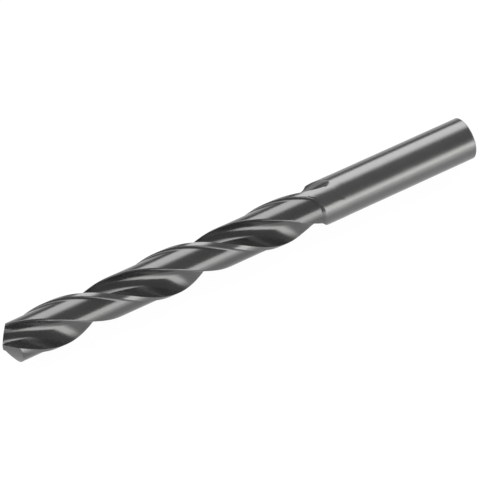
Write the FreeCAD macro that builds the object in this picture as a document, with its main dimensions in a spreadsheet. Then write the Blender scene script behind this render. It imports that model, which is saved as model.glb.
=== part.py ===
# Twist drill bit, one solid: round shank, two helical flutes, margins, cleared lands and a ground point
import FreeCAD, Part
import os
import Sketcher
from math import acos, asin, atan2, cos, degrees, pi, radians, sin, sqrt

V = FreeCAD.Vector

# Driving dimensions, in millimetres and degrees
DIMENSIONS = {
    "diameter": 13.0,
    "overall_length": 151.0,
    "shank_diameter": 12.95,
    "shank_length": 42.0,
    "shank_step": 2.0,
    "shank_chamfer": 0.4,
    "lead": 70.6,
    "full_flute_length": 91.0,
    "runout_radius": 26.0,
    "web_thickness": 2.3,
    "web_taper": 0.004,
    "land_angle": 91.0,
    "root_radius": 1.9,
    "rake_radius": 10.0,
    "heel_bevel": 0.28,
    "heel_bevel_angle": 45.0,
    "margin_angle": 11.0,
    "clearance_depth": 0.7,
    "clearance_foot": 6.0,
    "clearance_length": 99.5,
    "clearance_end": 3.0,
    "half_point_angle": 62.5,
    "relief_angle": 8.5,
    "relief_cone_angle": 32.0,
    "relief_cone_reach": 24.7,
    "roll_angle": -63.7,
}
# Sections along a flute or land at full depth, and how far ahead of the point the first one lies
FULL_STATIONS = 12
LEAD_IN = 2.0
# Sections of a flute's run-out, as shares of the run-out radius
RUNOUT_STATIONS = (0.2, 0.36, 0.48, 0.58, 0.66)
# Sections of the land clearance's rounded end, as shares of its length
END_STATIONS = (0.5, 0.8, 0.95, 1.0)
# Degrees behind the leading corner that the land clearance reaches to, and closes in to at its end
CLEARANCE_REACH = 110.0
END_MIDDLE = 50.0
END_HEEL = 85.0
# Size of the cuts outside the bar, in drill radii
OUTSIDE = 1.35
FLANK_HEIGHT = 2.0
FLANK_SPAN = 1.4
# Length of bar beyond the point before it is ground, and length of the drawn cone axis
BLANK_SPARE = 0.5
AXIS_LENGTH = 20.0

doc = FreeCAD.newDocument("TwistDrill")
sheet = doc.addObject("Spreadsheet::Sheet", "Dimensions")
for row, (alias, value) in enumerate(DIMENSIONS.items(), start=1):
    sheet.set(f"A{row}", alias)
    sheet.set(f"B{row}", str(value))
    sheet.setAlias(f"B{row}", alias)
doc.recompute()

# Expressions that several features share
RADIUS = "Dimensions.diameter / 2"
HALF_WEB = "Dimensions.web_thickness / 2"
CORE = f"({RADIUS} - Dimensions.clearance_depth)"
BELOW_CORE = f"({RADIUS} - 2 * Dimensions.clearance_depth)"
POINT = "(Dimensions.half_point_angle * 1deg)"
RELIEF = "(Dimensions.relief_angle * 1deg)"
CONE = "(Dimensions.relief_cone_angle * 1deg)"
MIDDLE = "((180 - Dimensions.land_angle) / 2)"
CHISEL_RISE = (f"({HALF_WEB} * tan({RELIEF}) + ({HALF_WEB})^2 * sin({POINT}) / "
               f"(2 * Dimensions.relief_cone_reach * tan({CONE})))")
CORNER_DEPTH = f"(sqrt(({RADIUS})^2 - ({HALF_WEB})^2) / tan({POINT}) - {CHISEL_RISE})"


def size(name):
    return float(sheet.get(name))


radius = size("diameter") / 2
half_web = size("web_thickness") / 2
core = radius - size("clearance_depth")


# Sketch tools
def new_sketch(body, name, plane):
    sketch = body.newObject("Sketcher::SketchObject", name)
    origin_plane = [f for f in body.Origin.OriginFeatures if f.Role == plane][0]
    sketch.AttachmentSupport = [(origin_plane, "")]
    sketch.MapMode = "FlatFace"
    return sketch


def bind(sketch, kind, *where, to):
    # Adds one sizing constraint and ties it to the sheet
    index = sketch.addConstraint(Sketcher.Constraint(kind, *where))
    name = f"size{index}"
    sketch.renameConstraint(index, name)
    sketch.setExpression(f"Constraints.{name}", to)


def join(sketch, *pairs):
    for first, first_end, second, second_end in pairs:
        sketch.addConstraint(Sketcher.Constraint("Coincident", first, first_end, second, second_end))


def arc(centre, start, end):
    # Counter-clockwise arc from start to end about centre
    first = atan2(start.y - centre.y, start.x - centre.x)
    last = atan2(end.y - centre.y, end.x - centre.x)
    circle = Part.Circle(centre, V(0, 0, 1), (start - centre).Length)
    return Part.ArcOfCircle(circle, first, last if last > first else last + 2 * pi)


def polar(length, angle):
    return V(length * cos(radians(angle)), length * sin(radians(angle)), 0)


# Stations: distance from the tip, and the turn of the section there
def place_section(sketch, distance, lift=None):
    # A section is turned with the helix and lifted out of the drill along the flute's middle
    turn = f"(asin({HALF_WEB} / ({RADIUS})) + 360deg * ({CORNER_DEPTH} - ({distance})) / Dimensions.lead)"
    sketch.setExpression("AttachmentOffset.Rotation.Angle", turn)
    sketch.setExpression("AttachmentOffset.Base.z", f"Dimensions.overall_length - ({distance})")
    if lift:
        way = f"({turn} + {MIDDLE} * 1deg)"
        sketch.setExpression("AttachmentOffset.Base.x", f"({lift}) * cos({way})")
        sketch.setExpression("AttachmentOffset.Base.y", f"({lift}) * sin({way})")


# Blank: a chamfered round shank, a slight step up, and the full bar to a little beyond the point
def add_blank(body):
    sketch = new_sketch(body, "BlankOutline", "XZ_Plane")
    top = size("overall_length") + BLANK_SPARE
    shank = size("shank_diameter") / 2
    neck = size("shank_length")
    chamfer = size("shank_chamfer")
    corners = [V(0, 0, 0), V(shank - chamfer, 0, 0), V(shank, chamfer, 0), V(shank, neck, 0),
               V(radius, neck + size("shank_step"), 0), V(radius, top, 0), V(0, top, 0)]
    for first, second in zip(corners, corners[1:] + corners[:1]):
        sketch.addGeometry(Part.LineSegment(first, second), False)
    for line in range(6):
        join(sketch, (line, 2, line + 1, 1))
    join(sketch, (6, 2, 0, 1), (0, 1, -1, 1))
    for line in (0, 5):
        sketch.addConstraint(Sketcher.Constraint("Horizontal", line))
    for line in (2, 4, 6):
        sketch.addConstraint(Sketcher.Constraint("Vertical", line))
    shank_radius = "Dimensions.shank_diameter / 2"
    bind(sketch, "DistanceX", 0, 2, shank - chamfer, to=f"{shank_radius} - Dimensions.shank_chamfer")
    bind(sketch, "DistanceX", 2, 1, shank, to=shank_radius)
    bind(sketch, "DistanceY", 2, 1, chamfer, to="Dimensions.shank_chamfer")
    bind(sketch, "DistanceY", 3, 1, neck, to="Dimensions.shank_length")
    bind(sketch, "DistanceX", 4, 1, radius, to=RADIUS)
    bind(sketch, "DistanceY", 4, 1, neck + size("shank_step"), to="Dimensions.shank_length + Dimensions.shank_step")
    bind(sketch, "DistanceY", 4, 2, top, to=f"Dimensions.overall_length + {BLANK_SPARE}")
    blank = body.newObject("PartDesign::Revolution", "Blank")
    blank.Profile = sketch
    blank.ReferenceAxis = (sketch, ["V_Axis"])
    blank.Angle = 360


# Core: the round bar that the lands are cleared down to
def add_core(body):
    sketch = new_sketch(body, "CoreOutline", "XY_Plane")
    sketch.addGeometry(Part.Circle(V(0, 0, 0), V(0, 0, 1), core), False)
    join(sketch, (0, 3, -1, 1))
    bind(sketch, "Radius", 0, core, to=CORE)
    sketch.setExpression("AttachmentOffset.Base.z", "Dimensions.shank_length / 2")
    bar = body.newObject("PartDesign::Pad", "Core")
    bar.Profile = sketch
    bar.setExpression("Length", f"Dimensions.overall_length - Dimensions.shank_length / 2 + 2 * {BLANK_SPARE}")


# Flute section: rake arc, root arc, straight heel wall and bevel, closed outside the bar
def flute_outline():
    # The leading corner lies at (radius, 0), the flute opens counter-clockwise ahead of it
    corner = V(radius, 0, 0)
    rake = size("rake_radius")
    root = size("root_radius")
    heel = 180 - size("land_angle")
    root_centre = polar(half_web + root, heel / 2)
    # Rake arc through the corner, tangent to the root arc from inside
    span = root_centre - corner
    along = (rake ** 2 - (rake - root) ** 2 + span.Length ** 2) / (2 * span.Length)
    rise = sqrt(rake ** 2 - along ** 2)
    way = V(span).normalize()
    rake_centre = corner + way * along + V(way.y, -way.x, 0) * rise
    if rake_centre.y < 0:
        rake_centre = corner + way * along - V(way.y, -way.x, 0) * rise
    rake_root = rake_centre + (root_centre - rake_centre).normalize() * rake
    # The rake arc runs on to the outer circle
    reach = rake_centre.Length
    outer = OUTSIDE * radius
    bend = acos((reach ** 2 + outer ** 2 - rake ** 2) / (2 * reach * outer))
    bearing = atan2(rake_centre.y, rake_centre.x)
    rake_out = polar(outer, degrees(bearing - bend))
    # Heel wall tangent to the root arc
    heel_edge = polar(core - size("heel_bevel"), heel)
    back = heel_edge - root_centre
    swing = degrees(atan2(back.y, back.x) + acos(root / back.Length))
    root_heel = root_centre + polar(root, swing)
    tilt = radians(heel + size("heel_bevel_angle"))
    bevel = V(cos(tilt), sin(tilt), 0)
    ahead = heel_edge.dot(bevel)
    bevel_out = heel_edge + bevel * (sqrt(ahead ** 2 + outer ** 2 - heel_edge.Length ** 2) - ahead)
    return corner, rake_centre, rake_root, rake_out, root_centre, root_heel, heel_edge, bevel_out


def flute_section(body, name, distance, lift):
    corner, rake_centre, rake_root, rake_out, root_centre, root_heel, heel_edge, bevel_out = flute_outline()
    sketch = new_sketch(body, name, "XY_Plane")
    sketch.addGeometry([
        arc(rake_centre, rake_root, rake_out),
        arc(root_centre, root_heel, rake_root),
        Part.LineSegment(root_heel, heel_edge),
        Part.LineSegment(heel_edge, bevel_out),
        arc(V(0, 0, 0), rake_out, bevel_out),
    ], False)
    corner_point = sketch.addGeometry(Part.Point(corner), True)
    join(sketch, (2, 2, 3, 1), (3, 2, 4, 2), (4, 1, 0, 2), (4, 3, -1, 1))
    sketch.addConstraint(Sketcher.Constraint("Tangent", 0, 1, 1, 2))
    sketch.addConstraint(Sketcher.Constraint("Tangent", 1, 1, 2, 1))
    sketch.addConstraint(Sketcher.Constraint("PointOnObject", corner_point, 1, -1))
    sketch.addConstraint(Sketcher.Constraint("PointOnObject", corner_point, 1, 0))
    heel = "((180 - Dimensions.land_angle) * 1deg)"
    root_reach = f"({HALF_WEB} + Dimensions.root_radius)"
    edge_reach = f"({CORE} - Dimensions.heel_bevel)"
    bind(sketch, "DistanceX", corner_point, 1, corner.x, to=RADIUS)
    bind(sketch, "Radius", 0, size("rake_radius"), to="Dimensions.rake_radius")
    bind(sketch, "Radius", 1, size("root_radius"), to="Dimensions.root_radius")
    bind(sketch, "Radius", 4, OUTSIDE * radius, to=f"{OUTSIDE} * {RADIUS}")
    bind(sketch, "DistanceX", 1, 3, root_centre.x, to=f"{root_reach} * cos({heel} / 2)")
    bind(sketch, "DistanceY", 1, 3, root_centre.y, to=f"{root_reach} * sin({heel} / 2)")
    bind(sketch, "DistanceX", 2, 2, heel_edge.x, to=f"{edge_reach} * cos({heel})")
    bind(sketch, "DistanceY", 2, 2, heel_edge.y, to=f"{edge_reach} * sin({heel})")
    bevel_way = atan2(bevel_out.y - heel_edge.y, bevel_out.x - heel_edge.x)
    bind(sketch, "Angle", 3, bevel_way, to=f"{heel} + Dimensions.heel_bevel_angle * 1deg")
    place_section(sketch, distance, lift)
    return sketch


def add_flute(body):
    sections = []
    for number in range(FULL_STATIONS + 1):
        share = number / FULL_STATIONS
        distance = f"({share} * (Dimensions.full_flute_length + {LEAD_IN}) - {LEAD_IN})"
        lift = f"Dimensions.web_taper * {distance}"
        sections.append(flute_section(body, f"FluteSection{number}", distance, lift))
    for number, share in enumerate(RUNOUT_STATIONS, start=FULL_STATIONS + 1):
        past = f"({share} * Dimensions.runout_radius)"
        distance = f"(Dimensions.full_flute_length + {past})"
        wheel = f"(Dimensions.runout_radius - sqrt(Dimensions.runout_radius^2 - {past}^2))"
        lift = f"Dimensions.web_taper * {distance} + {wheel}"
        sections.append(flute_section(body, f"FluteSection{number}", distance, lift))
    flute = body.newObject("PartDesign::SubtractiveLoft", "Flute")
    flute.Profile = sections[0]
    flute.Sections = sections[1:]
    flute.Ruled = False
    return flute


# Land clearance: a helical band behind each margin, with a slanted foot, cut to below the core
def clearance_section(body, name, distance, start, end):
    # start and end are counted back from the leading corner, in degrees
    below = 2 * core - radius
    outer = OUTSIDE * radius
    foot = start + 2 * size("clearance_foot")
    sketch = new_sketch(body, name, "XY_Plane")
    sketch.addGeometry([
        arc(V(0, 0, 0), polar(below, -end), polar(below, -foot)),
        Part.LineSegment(polar(below, -foot), polar(radius, -start)),
        Part.LineSegment(polar(radius, -start), polar(outer, -start)),
        arc(V(0, 0, 0), polar(outer, -end), polar(outer, -start)),
        Part.LineSegment(polar(below, -end), polar(outer, -end)),
    ], False)
    join(sketch, (0, 3, -1, 1), (3, 3, -1, 1), (0, 2, 1, 1), (1, 2, 2, 1), (2, 2, 3, 2), (4, 2, 3, 1), (4, 1, 0, 1))
    for line in (2, 4):
        sketch.addConstraint(Sketcher.Constraint("PointOnObject", -1, 1, line))
    margin = f"{start / size('margin_angle')} * Dimensions.margin_angle"
    way = f"({margin} + 2 * Dimensions.clearance_foot) * 1deg"
    bind(sketch, "DistanceX", 0, 2, below * cos(radians(foot)), to=f"{BELOW_CORE} * cos({way})")
    bind(sketch, "DistanceY", 0, 2, -below * sin(radians(foot)), to=f"-{BELOW_CORE} * sin({way})")
    bind(sketch, "Distance", -1, 1, 1, 2, radius, to=RADIUS)
    bind(sketch, "Radius", 3, outer, to=f"{OUTSIDE} * {RADIUS}")
    bind(sketch, "Angle", 2, radians(-start), to=f"-{margin} * 1deg")
    bind(sketch, "Angle", 4, radians(-end), to=f"-{end} * 1deg")
    place_section(sketch, distance)
    return sketch


def add_clearance(body):
    length = "Dimensions.clearance_length"
    sections = []
    for number in range(FULL_STATIONS + 1):
        share = number / FULL_STATIONS
        distance = f"({share} * ({length} - Dimensions.clearance_end + {LEAD_IN}) - {LEAD_IN})"
        sections.append(clearance_section(body, f"LandSection{number}", distance,
                                          size("margin_angle"), CLEARANCE_REACH))
    land = body.newObject("PartDesign::SubtractiveLoft", "LandClearance")
    land.Profile = sections[0]
    land.Sections = sections[1:]
    # The band closes with rounded corners at its shank end
    closing = []
    for number, share in enumerate((0.0,) + END_STATIONS):
        narrowing = 1 - sqrt(1 - share ** 2)
        start = size("margin_angle") + (END_MIDDLE - size("margin_angle")) * narrowing
        end = CLEARANCE_REACH + (END_HEEL - CLEARANCE_REACH) * narrowing
        distance = f"({length} + ({share} - 1) * Dimensions.clearance_end)"
        closing.append(clearance_section(body, f"LandEndSection{number}", distance, start, end))
    land_end = body.newObject("PartDesign::SubtractiveLoft", "LandClearanceEnd")
    land_end.Profile = closing[0]
    land_end.Sections = closing[1:]
    return [land, land_end]


# Point: each flank is the side of a wide cone whose edge carries the cutting lip
def add_flank(body):
    sketch = new_sketch(body, "FlankOutline", "XZ_Plane")
    point = radians(size("half_point_angle"))
    cone = radians(size("relief_cone_angle"))
    reach = size("relief_cone_reach")
    near = (reach - FLANK_SPAN * radius) / sin(point)
    far = (reach + FLANK_SPAN * radius) / sin(point)
    height = FLANK_HEIGHT * radius
    corners = [V(near, 0, 0), V(far, 0, 0), V(far, height, 0), V(near, height, 0)]
    for first, second in zip(corners, corners[1:] + corners[:1]):
        sketch.addGeometry(Part.LineSegment(first, second), False)
    join(sketch, (0, 2, 1, 1), (1, 2, 2, 1), (2, 2, 3, 1), (3, 2, 0, 1))
    axis_end = V(AXIS_LENGTH * cos(cone), -AXIS_LENGTH * sin(cone), 0)
    axis = sketch.addGeometry(Part.LineSegment(V(0, 0, 0), axis_end), True)
    join(sketch, (axis, 1, -1, 1))
    sketch.addConstraint(Sketcher.Constraint("PointOnObject", 0, 1, -1))
    for line in (0, 2):
        sketch.addConstraint(Sketcher.Constraint("Horizontal", line))
    for line in (1, 3):
        sketch.addConstraint(Sketcher.Constraint("Vertical", line))
    span = f"{FLANK_SPAN} * {RADIUS}"
    bind(sketch, "DistanceX", 0, 1, near, to=f"(Dimensions.relief_cone_reach - {span}) / sin({POINT})")
    bind(sketch, "DistanceX", 0, 2, far, to=f"(Dimensions.relief_cone_reach + {span}) / sin({POINT})")
    bind(sketch, "DistanceY", 1, 2, height, to=f"{FLANK_HEIGHT} * {RADIUS}")
    bind(sketch, "DistanceX", axis, 2, axis_end.x, to=f"{AXIS_LENGTH} * cos({CONE})")
    bind(sketch, "DistanceY", axis, 2, axis_end.y, to=f"-{AXIS_LENGTH} * sin({CONE})")
    sketch.setExpression("AttachmentOffset.Base.x", "-Dimensions.relief_cone_reach")
    sketch.setExpression("AttachmentOffset.Base.y", f"Dimensions.overall_length + {CHISEL_RISE} "
                                                    f"+ Dimensions.relief_cone_reach / tan({POINT})")
    sketch.setExpression("AttachmentOffset.Base.z", f"-{HALF_WEB}")
    sketch.setExpression("AttachmentOffset.Rotation",
                         f"rotation(vector(0; 0; 1); {POINT} - 90deg) * "
                         f"rotation(vector(1; 0; 0); atan(sin({POINT}) * tan({RELIEF})))")
    doc.recompute()
    flank = body.newObject("PartDesign::Groove", "Flank")
    flank.Profile = sketch
    flank.ReferenceAxis = (sketch, ["Axis0"])
    flank.Angle = 360
    return flank


def repeat_around(body, name, features):
    around = body.newObject("PartDesign::PolarPattern", name)
    around.Originals = features
    drill_axis = [f for f in body.Origin.OriginFeatures if f.Role == "Z_Axis"][0]
    around.Axis = (drill_axis, [""])
    around.Angle = 360
    around.Occurrences = 2
    body.Tip = around


drill = doc.addObject("PartDesign::Body", "TwistDrill")
drill.Label = "twist_drill"
add_blank(drill)
repeat_around(drill, "BothClearances", add_clearance(drill))
add_core(drill)
repeat_around(drill, "BothFlutes", [add_flute(drill), add_flank(drill)])
# The drill lies along X on its shank and lands, point towards -X, turned about its own axis
drill.Placement = FreeCAD.Placement(
    V(size("overall_length") / 2, 0, radius),
    FreeCAD.Rotation(V(0, 1, 0), -90) * FreeCAD.Rotation(V(0, 0, 1), size("roll_angle")))
doc.recompute()

for item in doc.Objects:
    if "Invalid" in item.State or "Error" in item.State:
        raise RuntimeError(f"{item.Name} failed: {item.State}")
if drill.Shape.isNull() or not drill.Shape.isValid():
    raise RuntimeError("the drill's shape is not valid")
os.makedirs("parts", exist_ok=True)
drill.Shape.exportStep("parts/twist_drill.step")
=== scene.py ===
import bmesh
import bpy
from math import acos, asin, atan, atan2, cos, degrees, pi, radians, sin, sqrt, tan
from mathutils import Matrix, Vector

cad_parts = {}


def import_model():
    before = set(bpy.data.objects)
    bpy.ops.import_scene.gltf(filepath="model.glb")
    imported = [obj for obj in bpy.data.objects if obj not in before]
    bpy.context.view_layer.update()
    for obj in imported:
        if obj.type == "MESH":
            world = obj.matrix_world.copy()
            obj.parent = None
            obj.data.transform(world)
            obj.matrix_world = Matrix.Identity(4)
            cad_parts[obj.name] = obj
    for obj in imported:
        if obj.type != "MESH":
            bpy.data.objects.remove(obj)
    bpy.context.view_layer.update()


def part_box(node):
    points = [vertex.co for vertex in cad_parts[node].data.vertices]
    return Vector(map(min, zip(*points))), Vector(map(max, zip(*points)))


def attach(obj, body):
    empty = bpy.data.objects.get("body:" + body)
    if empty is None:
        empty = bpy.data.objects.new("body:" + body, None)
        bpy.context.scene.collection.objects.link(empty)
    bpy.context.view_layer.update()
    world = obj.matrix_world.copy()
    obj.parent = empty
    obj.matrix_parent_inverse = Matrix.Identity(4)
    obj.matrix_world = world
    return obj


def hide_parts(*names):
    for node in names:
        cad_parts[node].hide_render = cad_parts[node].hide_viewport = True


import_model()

# Radius of the bar and height of its axis in metres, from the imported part
LOW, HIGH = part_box("twist_drill")
RADIUS = (HIGH[2] - LOW[2]) / 2
AXIS_HEIGHT = RADIUS


class Socket:
    """A shader value that takes part in Python expressions."""

    tree = None

    def __init__(self, link):
        self.link = link

    @classmethod
    def node(cls, kind, settings=None, inputs=None, output=0):
        made = cls.tree.nodes.new(kind)
        for name, value in (settings or {}).items():
            setattr(made, name, value)
        for name, value in (inputs or {}).items():
            if isinstance(value, Socket):
                cls.tree.links.new(value.link, made.inputs[name])
            else:
                made.inputs[name].default_value = value
        return cls(made.outputs[output])

    def maths(self, operation, other=None, swapped=False):
        first, second = (other, self) if swapped else (self, other)
        inputs = {0: first} if second is None else {0: first, 1: second}
        return Socket.node("ShaderNodeMath", {"operation": operation}, inputs)

    def __add__(self, other):
        return self.maths("ADD", other)

    def __radd__(self, other):
        return self.maths("ADD", other)

    def __sub__(self, other):
        return self.maths("SUBTRACT", other)

    def __rsub__(self, other):
        return self.maths("SUBTRACT", other, swapped=True)

    def __mul__(self, other):
        return self.maths("MULTIPLY", other)

    def __rmul__(self, other):
        return self.maths("MULTIPLY", other)

    def __truediv__(self, other):
        return self.maths("DIVIDE", other)

    def band(self, start, end):
        # Rises smoothly from 0 at start to 1 at end
        return Socket.node("ShaderNodeMapRange", {"interpolation_type": "SMOOTHSTEP"},
                           {"Value": self, "From Min": start, "From Max": end})

    def parts(self):
        # The three numbers of a vector
        split = Socket.node("ShaderNodeSeparateXYZ", inputs={"Vector": self})
        return [Socket(output) for output in split.link.node.outputs]


def colour(red, green, blue):
    return Socket.node("ShaderNodeCombineColor", inputs={"Red": red, "Green": green, "Blue": blue})


def new_material(name):
    made = bpy.data.materials.new(name)
    made.use_nodes = True
    made.node_tree.nodes.clear()
    Socket.tree = made.node_tree
    return made


def finish_material(made, shader):
    output = made.node_tree.nodes.new("ShaderNodeOutputMaterial")
    made.node_tree.links.new(shader.link, output.inputs["Surface"])
    return made


# Drill steel: ground round the outside, polished along the flutes
METALLIC = 0.75
GROUND_BAND, PAINTED_RIM_BAND = (0.86, 0.89), (0.91, 0.97)
LINES_ALONG, LINES_ROUND, CLOUDS, NOISE_DETAIL = 9000, 60, 160.0, 3.0
ROUGHNESS, GROUND_ROUGHER, LINES_ROUGHER, CLOUDS_ROUGHER = 0.20, 0.02, 0.04, 0.08
# Painted light and shade: the colour is lighter on the shank and margins and darker on the lands and in the
# flutes
LEVEL, RIM_PAINTED_LIGHT, LINES_BRIGHTER, CLOUDS_BRIGHTER = 0.106, 0.030, 0.02, 0.02
BUMP_STRENGTH, BUMP_DEPTH = 0.02, 0.00002


def noise(place, scale):
    return Socket.node("ShaderNodeTexNoise", inputs={
        "Vector": place, "Scale": scale, "Detail": NOISE_DETAIL})


def drill_steel():
    made = new_material("drill_steel")
    place = Socket.node("ShaderNodeTexCoord", output="Object")
    along, across, height = place.parts()
    rise = height - AXIS_HEIGHT
    reach = (across * across + rise * rise).maths("SQRT") / RADIUS
    outside = reach.band(*GROUND_BAND)
    # Grinding lines run round the bar, so they are fine along it only
    stretched = Socket.node("ShaderNodeCombineXYZ", inputs={
        "X": along * LINES_ALONG, "Y": across * LINES_ROUND, "Z": rise * LINES_ROUND})
    lines = noise(stretched, 1.0)
    streak = (lines - 0.5) * outside
    cloud = noise(place, CLOUDS) - 0.5
    roughness = ROUGHNESS + GROUND_ROUGHER * outside + LINES_ROUGHER * streak + CLOUDS_ROUGHER * cloud
    # Painted light and shade: the shank and the margins are coloured brighter than the lands and the
    # flutes, which dims the reflections on the lands and in the flutes
    painted_rim_light = reach.band(*PAINTED_RIM_BAND)
    level = LEVEL + RIM_PAINTED_LIGHT * painted_rim_light + LINES_BRIGHTER * streak + CLOUDS_BRIGHTER * cloud
    bump = Socket.node("ShaderNodeBump", inputs={
        "Height": lines * outside, "Strength": BUMP_STRENGTH, "Distance": BUMP_DEPTH})
    shader = Socket.node("ShaderNodeBsdfPrincipled", inputs={
        "Base Color": colour(level, level, level), "Metallic": METALLIC, "Roughness": roughness,
        "Normal": bump})
    return finish_material(made, shader)


# The drill's own sizes, in millimetres and degrees, with lengths measured from its tip
LENGTH, DIAMETER, SHANK_DIAMETER = 151.0, 13.0, 12.95
SHANK_LENGTH, SHANK_STEP, SHANK_CHAMFER = 42.0, 2.0, 0.4
LEAD, ROLL = 70.6, -63.7
FLUTE_LENGTH, RUNOUT_RADIUS, WEB_TAPER = 88.5, 30.0, 0.004
HALF_WEB, ROOT_RADIUS, ROOT_TURN, RAKE_RADIUS = 1.15, 3.1, 9.0, 9.0
LAND_ANGLE, HEEL_BEVEL, BEVEL_ANGLE = 91.0, 0.42, 45.0
MARGIN, FOOT_WIDENING = 11.0, 1.2
CLEARANCE, CLEARANCE_LENGTH, CLEARANCE_FADE = 0.7, 100.2, 1.4
END_MIDDLE, END_ROUNDING = 50.0, 3.0
POINT, RELIEF, CONE, CONE_REACH = 62.5, 8.5, 32.0, 24.7

# What follows from these sizes
BAR = DIAMETER / 2
CORE = BAR - CLEARANCE
FLUTED_LENGTH = LENGTH - SHANK_LENGTH - SHANK_STEP
HEEL = 180 - LAND_ANGLE
FOOT = FOOT_WIDENING * degrees(CLEARANCE / BAR)
RISE = (HALF_WEB * tan(radians(RELIEF))
        + HALF_WEB ** 2 * sin(radians(POINT)) / (2 * CONE_REACH * tan(radians(CONE))))
CORNER_ANGLE = degrees(asin(HALF_WEB / BAR))
CORNER_DEPTH = sqrt(BAR ** 2 - HALF_WEB ** 2) / tan(radians(POINT)) - RISE

# Columns round half the drill: rake face, flute root, heel wall, bevel, land, margin foot, margin
COLUMNS = (26, 24, 12, 3, 40, 8, 8)
FLUTE_POINTS = 160
CAP_RINGS, TIP_RINGS, TIP_REACH, SHANK_RINGS = 16, 14, 7.0, 6
FINE_STEP, RUNOUT_STEP = 0.6, 0.25
TIP_ROUNDS = 8
MERGE_DISTANCE = 2e-6
SHORTEST = 1e-9

# How far the rake arc and the bevel run on past the bar, in its radii
RAKE_OVERRUN = Vector((0.55, -0.12))
BEVEL_OVERRUN = 0.6

# Edges stay smooth up to these angles; the lower one is for the rim of the shank
SMOOTH_EDGE, SMOOTH_SHANK_EDGE = radians(55), radians(24)
SHANK_RIM_X = 0.07


def polar(length, angle):
    return Vector((length * cos(radians(angle)), length * sin(radians(angle))))


def direction(point):
    return degrees(atan2(point.y, point.x))


def turned(point, angle):
    return polar(point.length, direction(point) + angle)


def steps(start, end, count):
    # Even steps from start, without the end itself
    return [start + (end - start) * n / count for n in range(count)]


def share_of(value, start, end):
    # How far a value is on its way from start to end, from 0 to 1
    return min(max((value - start) / (end - start), 0), 1)


def smooth(value, start, end):
    share = share_of(value, start, end)
    return share * share * (3 - 2 * share)


def arc(centre, start, end):
    # Points clockwise round a centre, from start to end
    first = atan2(start.y - centre.y, start.x - centre.x)
    last = atan2(end.y - centre.y, end.x - centre.x)
    sweep = (first - last) % (2 * pi)
    size = (start - centre).length
    return [centre + polar(size, degrees(first - sweep * n / FLUTE_POINTS))
            for n in range(FLUTE_POINTS + 1)]


def straight(start, end):
    return [start.lerp(end, n / FLUTE_POINTS) for n in range(FLUTE_POINTS + 1)]


def rake_middle(corner, root_middle):
    # Middle of the arc that starts at the leading corner and runs on smoothly into the root arc
    span = root_middle - corner
    way = span.normalized()
    along = (RAKE_RADIUS ** 2 - (RAKE_RADIUS - ROOT_RADIUS) ** 2 + span.length ** 2) / (2 * span.length)
    rise = sqrt(RAKE_RADIUS ** 2 - along ** 2)
    return corner + way * along + rise * Vector((way.y, -way.x))


def flute_stretches():
    # Rake arc, root arc, heel wall and bevel of the section, from outside the bar and out again
    corner = Vector((BAR, 0))
    root = polar(HALF_WEB + ROOT_RADIUS, HEEL / 2 + ROOT_TURN)
    rake = rake_middle(corner, root)
    rake_start = rake + (corner + RAKE_OVERRUN * BAR - rake).normalized() * RAKE_RADIUS
    root_start = rake + (root - rake).normalized() * RAKE_RADIUS
    heel_edge = polar(CORE - HEEL_BEVEL, HEEL)
    back = heel_edge - root
    root_end = root + polar(ROOT_RADIUS, direction(back) + degrees(acos(ROOT_RADIUS / back.length)))
    bevel_end = heel_edge + polar(BEVEL_OVERRUN * BAR, HEEL + BEVEL_ANGLE)
    return (arc(rake, rake_start, root_start), arc(root, root_start, root_end),
            straight(root_end, heel_edge), straight(heel_edge, bevel_end))


def bar_radius(distance):
    # Radius of the bar, with the step down to the shank
    return BAR - (BAR - SHANK_DIAMETER / 2) * share_of(distance, FLUTED_LENGTH, LENGTH - SHANK_LENGTH)


def land_radius(distance, back):
    # Radius of the cleared land at an angle back from the leading corner, with its rounded end
    foot = share_of(back, MARGIN, MARGIN + FOOT)
    beside = 1 - share_of(back, MARGIN, END_MIDDLE)
    end = CLEARANCE_LENGTH - END_ROUNDING * (1 - sqrt(1 - beside ** 2))
    depth = CLEARANCE * sqrt(2 * foot - foot ** 2) * (1 - smooth(distance, end - CLEARANCE_FADE, end))
    return bar_radius(distance) - depth


def flute_lift(distance):
    # The flute rises with the web, and climbs out at its end on the grinding wheel's radius
    past = min(max(distance - FLUTE_LENGTH, 0), RUNOUT_RADIUS)
    return WEB_TAPER * distance + RUNOUT_RADIUS - sqrt(RUNOUT_RADIUS ** 2 - past ** 2)


def crossing(path, limit, places):
    # The first place along the path that lies inside a circle
    for before, after in zip(places, places[1:]):
        outside, inside = path[before].length, path[after].length
        if inside <= limit:
            share = (outside - limit) / max(outside - inside, SHORTEST)
            return before + (after - before) * min(max(share, 0), 1)
    return None


def spot(path, place):
    below = min(int(place), len(path) - 2)
    return path[below].lerp(path[below + 1], place - below)


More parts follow.
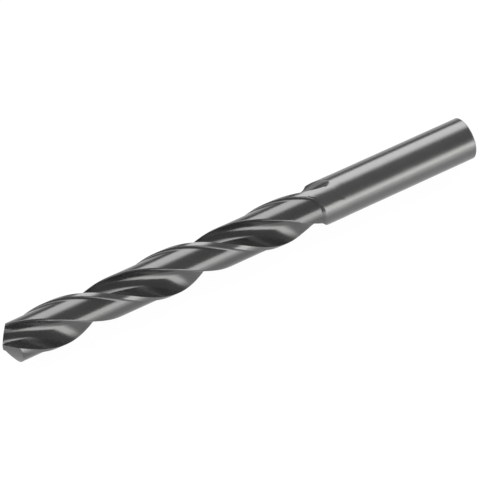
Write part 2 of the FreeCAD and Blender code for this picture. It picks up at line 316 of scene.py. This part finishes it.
def half_section(stretches, distance):
    # Points of half the section, from one leading corner to the next
    rake, root, wall, bevel, land, foot, margin = COLUMNS
    lift = polar(flute_lift(distance), HEEL / 2)
    path = [point + lift for stretch in stretches for point in stretch[:-1]]
    path.append(stretches[-1][-1] + lift)
    last = len(path) - 1
    lead = crossing(path, bar_radius(distance), range(last + 1))
    heel = crossing(path, land_radius(distance, LAND_ANGLE), range(last, -1, -1))
    if lead is None or heel is None or lead >= heel:
        # Past the flute its columns meet in one line
        points = [polar(bar_radius(distance), HEEL / 2)] * (rake + root + wall + bevel)
        lead_angle = heel_angle = HEEL / 2
    else:
        rake_end, root_end, wall_end = FLUTE_POINTS, 2 * FLUTE_POINTS, 3 * FLUTE_POINTS
        places = (steps(min(lead, rake_end), rake_end, rake) + steps(rake_end, root_end, root)
                  + steps(root_end, wall_end, wall) + steps(wall_end, max(heel, wall_end), bevel))
        points = [spot(path, min(max(place, lead), heel)) for place in places]
        lead_angle, heel_angle = direction(spot(path, lead)), direction(spot(path, heel))
    foot_start, foot_end = 180 - MARGIN - FOOT, 180 - MARGIN
    angles = (steps(heel_angle, foot_start, land)
              + [foot_end + (foot_start - foot_end) * (1 - n / foot) ** 2 for n in range(foot)]
              + steps(foot_end, 180 + lead_angle, margin))
    return points + [polar(land_radius(distance, 180 - angle), angle) for angle in angles]


def full_section(stretches, distance):
    half = half_section(stretches, distance)
    return half + [-point for point in half]


def helix_turn(distance):
    # How far a section is turned; the turn stops where the step to the shank starts
    return CORNER_ANGLE + 360 * (CORNER_DEPTH - min(distance, FLUTED_LENGTH)) / LEAD


def on_floor(point, height):
    # From the drill's own axes, tip up, to its place on the floor in metres
    rolled = turned(point, ROLL)
    return Vector((LENGTH / 2 - height, rolled.y, BAR + rolled.x)) / 1000


def cone_axis():
    # Way of the axis of the wide cone that makes one flank of the ground point
    lean = atan(sin(radians(POINT)) * tan(radians(RELIEF)))
    cone, tilt = radians(CONE), radians(POINT - 90)
    x, y, z = cos(cone), -sin(cone) * cos(lean), -sin(cone) * sin(lean)
    return Vector((x * cos(tilt) - y * sin(tilt), -z, x * sin(tilt) + y * cos(tilt)))


def flank_height(point):
    # Height of the ground point over a place of the section: the lower of its two cones
    axis = cone_axis()
    apex = Vector((-CONE_REACH, HALF_WEB, LENGTH + RISE + CONE_REACH / tan(radians(POINT))))
    spread = cos(radians(CONE)) ** 2
    heights = []
    for side in (1, -1):
        gap = side * point - apex.xy
        reach = gap.dot(axis.xy)
        a = axis.z ** 2 - spread
        b = axis.z * reach
        c = reach ** 2 - gap.length_squared * spread
        roots = [(-b + sign * sqrt(b * b - a * c)) / a for sign in (1, -1)]
        heights.append(apex.z + max(root for root in roots if reach + root * axis.z > 0))
    return min(heights)


def tip_distances(section):
    # How far below the tip each column of the section meets the ground point
    distances = [CORNER_DEPTH] * len(section)
    for _ in range(TIP_ROUNDS):
        distances = [LENGTH - flank_height(turned(point, helix_turn(distance)))
                     for point, distance in zip(section, distances)]
    return distances


def ring(section, distances):
    return [on_floor(turned(point, helix_turn(distance)), LENGTH - distance)
            for point, distance in zip(section, distances)]


def drill_rings():
    # Rings of places from the middle of the point to the end of the shank
    stretches = flute_stretches()
    section = full_section(stretches, 0)
    tips = tip_distances(section)
    outline = [turned(point, helix_turn(tip)) for point, tip in zip(section, tips)]
    rings = [[on_floor(share * point, flank_height(share * point)) for point in outline]
             for share in steps(0, 1, CAP_RINGS)]
    # The rings beside the point straighten out by the time they reach full depth
    for share in steps(0, 1, TIP_RINGS):
        distances = [tip + (TIP_REACH - tip) * share for tip in tips]
        rings.append(ring(full_section(stretches, TIP_REACH * share), distances))
    rows = (steps(TIP_REACH, FLUTE_LENGTH, round((FLUTE_LENGTH - TIP_REACH) / FINE_STEP))
            + steps(FLUTE_LENGTH, FLUTED_LENGTH, round((FLUTED_LENGTH - FLUTE_LENGTH) / RUNOUT_STEP))
            + [FLUTED_LENGTH]
            + steps(LENGTH - SHANK_LENGTH, LENGTH - SHANK_CHAMFER, SHANK_RINGS)
            + [LENGTH - SHANK_CHAMFER])
    for distance in rows:
        section = full_section(stretches, distance)
        rings.append(ring(section, [distance] * len(section)))
    chamfered = [point * (1 - SHANK_CHAMFER / point.length) for point in full_section(stretches, LENGTH)]
    rings.append(ring(chamfered, [LENGTH] * len(chamfered)))
    return rings


def fluted_bar():
    # A tube is spun with one ring to each metre, and each ring is then set to its section
    rings = drill_rings()
    columns = len(rings[0])
    shape = bmesh.new()
    bmesh.ops.create_circle(shape, segments=columns, radius=1.0)
    bmesh.ops.spin(shape, geom=shape.verts[:] + shape.edges[:], cent=(0, 0, 0), axis=(0, 0, 1),
                   dvec=(0, 0, 1), angle=0, steps=len(rings) - 1, use_duplicate=False)
    for vert in shape.verts:
        column = round((atan2(vert.co.y, vert.co.x) % (2 * pi)) / (2 * pi) * columns) % columns
        vert.co = rings[round(vert.co.z)][column]
    bmesh.ops.remove_doubles(shape, verts=shape.verts, dist=MERGE_DISTANCE)
    bmesh.ops.holes_fill(shape, edges=[edge for edge in shape.edges if edge.is_boundary], sides=0)
    bmesh.ops.recalc_face_normals(shape, faces=shape.faces)
    return shape


def drill():
    shape = fluted_bar()
    for face in shape.faces:
        face.smooth = True
    for edge in shape.edges:
        at_rim = edge.verts[0].co.x > SHANK_RIM_X
        edge.smooth = edge.calc_face_angle(0) < (SMOOTH_SHANK_EDGE if at_rim else SMOOTH_EDGE)
    mesh = bpy.data.meshes.new("drill_bit")
    shape.to_mesh(mesh)
    shape.free()
    piece = bpy.data.objects.new("drill_bit", mesh)
    bpy.context.collection.objects.link(piece)
    mesh.materials.append(drill_steel())
    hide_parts("twist_drill")
    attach(piece, "root")


# Studio: a white floor that keeps the drill's shadow
FLOOR_SIZE = 6.0
FLOOR_PAINT = (0.9, 0.9, 0.9, 1)
FLOOR_GLOW, GLOW_SHARE = 1.05, 0.92
# A painted glow on the floor beside the drill, for the steel to mirror
NEAR_PAINTED_GLOW, NEAR_PAINTED_GLOW_BAND = 1.5, (0.015, 0.06)


def ray(kind):
    return Socket.node("ShaderNodeLightPath", output=kind)


def floor():
    shape = bmesh.new()
    bmesh.ops.create_grid(shape, x_segments=1, y_segments=1, size=FLOOR_SIZE / 2)
    mesh = bpy.data.meshes.new("floor")
    shape.to_mesh(mesh)
    shape.free()
    ground = bpy.data.objects.new("floor", mesh)
    bpy.context.collection.objects.link(ground)
    made = new_material("floor")
    matt = Socket.node("ShaderNodeBsdfDiffuse", inputs={"Color": FLOOR_PAINT})
    across = Socket.node("ShaderNodeTexCoord", output="Object").parts()[1]
    # Painted light: a strip of floor on the near side glows brighter than white, and the steel mirrors it
    # as a lit band
    level = FLOOR_GLOW + NEAR_PAINTED_GLOW * (across * -1).band(*NEAR_PAINTED_GLOW_BAND)
    glow = Socket.node("ShaderNodeEmission", inputs={"Color": colour(level, level, level), "Strength": 1.0})
    share = (ray("Is Camera Ray") + ray("Is Glossy Ray")) * GLOW_SHARE
    mix = Socket.node("ShaderNodeMixShader", inputs={0: share, 1: matt, 2: glow})
    mesh.materials.append(finish_material(made, mix))


# Two soft lights in a dim room: angles from straight up, strength, and how softly each starts and ends
ROOM_LEVEL = 0.26
BEHIND_LIGHT = (-64, -17, 4.2, 5, 11)
BEHIND_LEAST, BEHIND_RISE = 0.35, (-0.1, 0.25)
FRONT_LIGHT = (62, 100, 4.0, 3, 3)
FRONT_RISE, FRONT_FALL = (-0.5, -0.1), (0.7, 1.0)
FRONT_WARMTH = 0.03


def soft_light(angle, share, first, last, strength, fade_in, fade_out):
    # A glowing band round the drill, of which a share shows along it
    start = angle.band(first - fade_in, first + fade_in)
    end = angle.band(last - fade_out, last + fade_out)
    return start * (1 - end) * share * strength


def world():
    sky = bpy.data.worlds.new("studio")
    bpy.context.scene.world = sky
    sky.use_nodes = True
    sky.node_tree.nodes.clear()
    Socket.tree = sky.node_tree
    along, across, height = Socket.node("ShaderNodeTexCoord", output="Generated").parts()
    angle = (across * -1).maths("ARCTAN2", height) * (180 / pi)
    behind_share = BEHIND_LEAST + (1 - BEHIND_LEAST) * along.band(*BEHIND_RISE)
    front_share = along.band(*FRONT_RISE) * (1 - along.band(*FRONT_FALL))
    front = soft_light(angle, front_share, *FRONT_LIGHT)
    level = ROOM_LEVEL + soft_light(angle, behind_share, *BEHIND_LIGHT) + front
    warm = colour(level, level, level - FRONT_WARMTH * front)
    light = Socket.node("ShaderNodeBackground", inputs={"Color": warm, "Strength": 1.0})
    white = Socket.node("ShaderNodeBackground", inputs={"Color": (1, 1, 1, 1), "Strength": 1.0})
    mix = Socket.node("ShaderNodeMixShader", inputs={0: ray("Is Camera Ray"), 1: light, 2: white})
    output = sky.node_tree.nodes.new("ShaderNodeOutputWorld")
    sky.node_tree.links.new(mix.link, output.inputs["Surface"])


# Picture: the drill's middle, seen from above its near side
BACK = Vector((-0.3010, -0.5276, 0.7944)).normalized()
RIGHT = Vector((0, 0, 1)).cross(BACK).normalized()
UP = BACK.cross(RIGHT)
CAMERA_DISTANCE, CAMERA_RIGHT, CAMERA_UP = 0.67665, -0.000454, -0.000227
CAMERA_FOV, SENSOR_WIDTH = 11.50, 36
NEAREST, FURTHEST = 0.01, 10


def camera():
    made = bpy.data.cameras.new("camera")
    made.sensor_width = SENSOR_WIDTH
    made.lens = SENSOR_WIDTH / 2 / tan(radians(CAMERA_FOV / 2))
    made.clip_start = NEAREST
    made.clip_end = FURTHEST
    eye = bpy.data.objects.new("camera", made)
    bpy.context.collection.objects.link(eye)
    middle = Vector((0, 0, AXIS_HEIGHT))
    eye.location = middle + BACK * CAMERA_DISTANCE + RIGHT * CAMERA_RIGHT + UP * CAMERA_UP
    eye.rotation_mode = "QUATERNION"
    eye.rotation_quaternion = (-BACK).to_track_quat("-Z", "Y")
    bpy.context.scene.camera = eye


drill()
floor()
world()
camera()
bpy.context.scene.view_settings.view_transform = "Standard"
